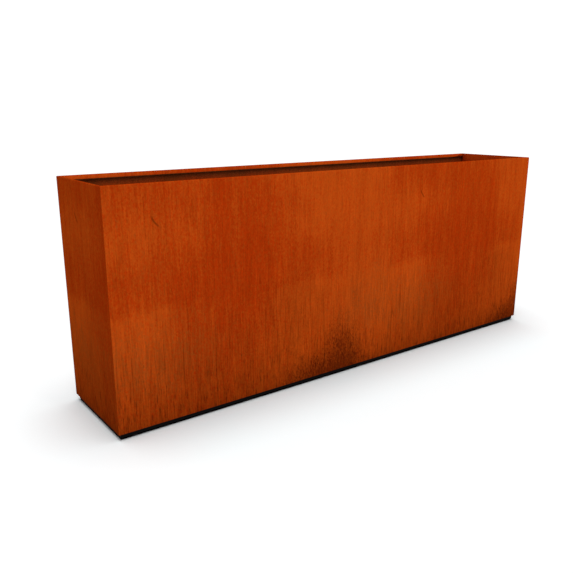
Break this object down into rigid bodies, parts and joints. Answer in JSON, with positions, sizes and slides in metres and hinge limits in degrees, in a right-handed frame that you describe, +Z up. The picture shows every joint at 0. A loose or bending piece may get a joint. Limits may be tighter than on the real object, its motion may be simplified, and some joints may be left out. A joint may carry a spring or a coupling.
{
  "type": "planter box",
  "caption": "Long rectangular planter box of folded weathering steel on a black recessed base, open at the top, with a drained floor inside.",
  "frame": {"origin": "middle of the planter's footprint, on the ground", "axes": "+X along the length, to the right as seen from the front; the front faces -Y; +Z up"},
  "size_m": [2.4384, 0.4572, 0.9374],
  "materials": {
    "weathering_steel": "matt rust patina, streaked orange brown with darker sooty patches",
    "black_coated_steel": "matt black coat with a fine texture",
    "stainless_steel": "plain, slightly dull",
    "black_rubber": "matt",
    "black_nylon": "matt, moulded"
  },
  "bodies": {
    "root": {"base_cross_member_1": "black_coated_steel", "base_cross_member_2": "black_coated_steel", "base_cross_member_3": "black_coated_steel", "base_rail_front": "black_coated_steel", "base_rail_left": "black_coated_steel", "base_rail_rear": "black_coated_steel", "base_rail_right": "black_coated_steel", "corner_post_front_left": "weathering_steel", "corner_post_front_right": "weathering_steel", "corner_post_rear_left": "weathering_steel", "corner_post_rear_right": "weathering_steel", "drain_strainer_1": "black_nylon", "drain_strainer_2": "black_nylon", "drain_strainer_3": "black_nylon", "drain_strainer_4": "black_nylon", "floor_tray": "weathering_steel", "foot_pad_front_1": "black_rubber", "foot_pad_front_2": "black_rubber", "foot_pad_front_3": "black_rubber", "foot_pad_rear_1": "black_rubber", "foot_pad_rear_2": "black_rubber", "foot_pad_rear_3": "black_rubber", "front_panel": "weathering_steel", "left_end_panel": "weathering_steel", "rear_panel": "weathering_steel", "rib_front_1": "weathering_steel", "rib_front_2": "weathering_steel", "rib_front_3": "weathering_steel", "rib_rear_1": "weathering_steel", "rib_rear_2": "weathering_steel", "rib_rear_3": "weathering_steel", "right_end_panel": "weathering_steel", "tie_bar_1": "weathering_steel", "tie_bar_2": "weathering_steel", "tie_bar_3": "weathering_steel", "tie_bolt_front_1": "stainless_steel", "tie_bolt_front_2": "stainless_steel", "tie_bolt_front_3": "stainless_steel", "tie_bolt_rear_1": "stainless_steel", "tie_bolt_rear_2": "stainless_steel", "tie_bolt_rear_3": "stainless_steel", "tie_nut_front_1": "stainless_steel", "tie_nut_front_2": "stainless_steel", "tie_nut_front_3": "stainless_steel", "tie_nut_rear_1": "stainless_steel", "tie_nut_rear_2": "stainless_steel", "tie_nut_rear_3": "stainless_steel", "tie_washer_front_1": "stainless_steel", "tie_washer_front_2": "stainless_steel", "tie_washer_front_3": "stainless_steel", "tie_washer_rear_1": "stainless_steel", "tie_washer_rear_2": "stainless_steel", "tie_washer_rear_3": "stainless_steel"}
  },
  "joints": []
}
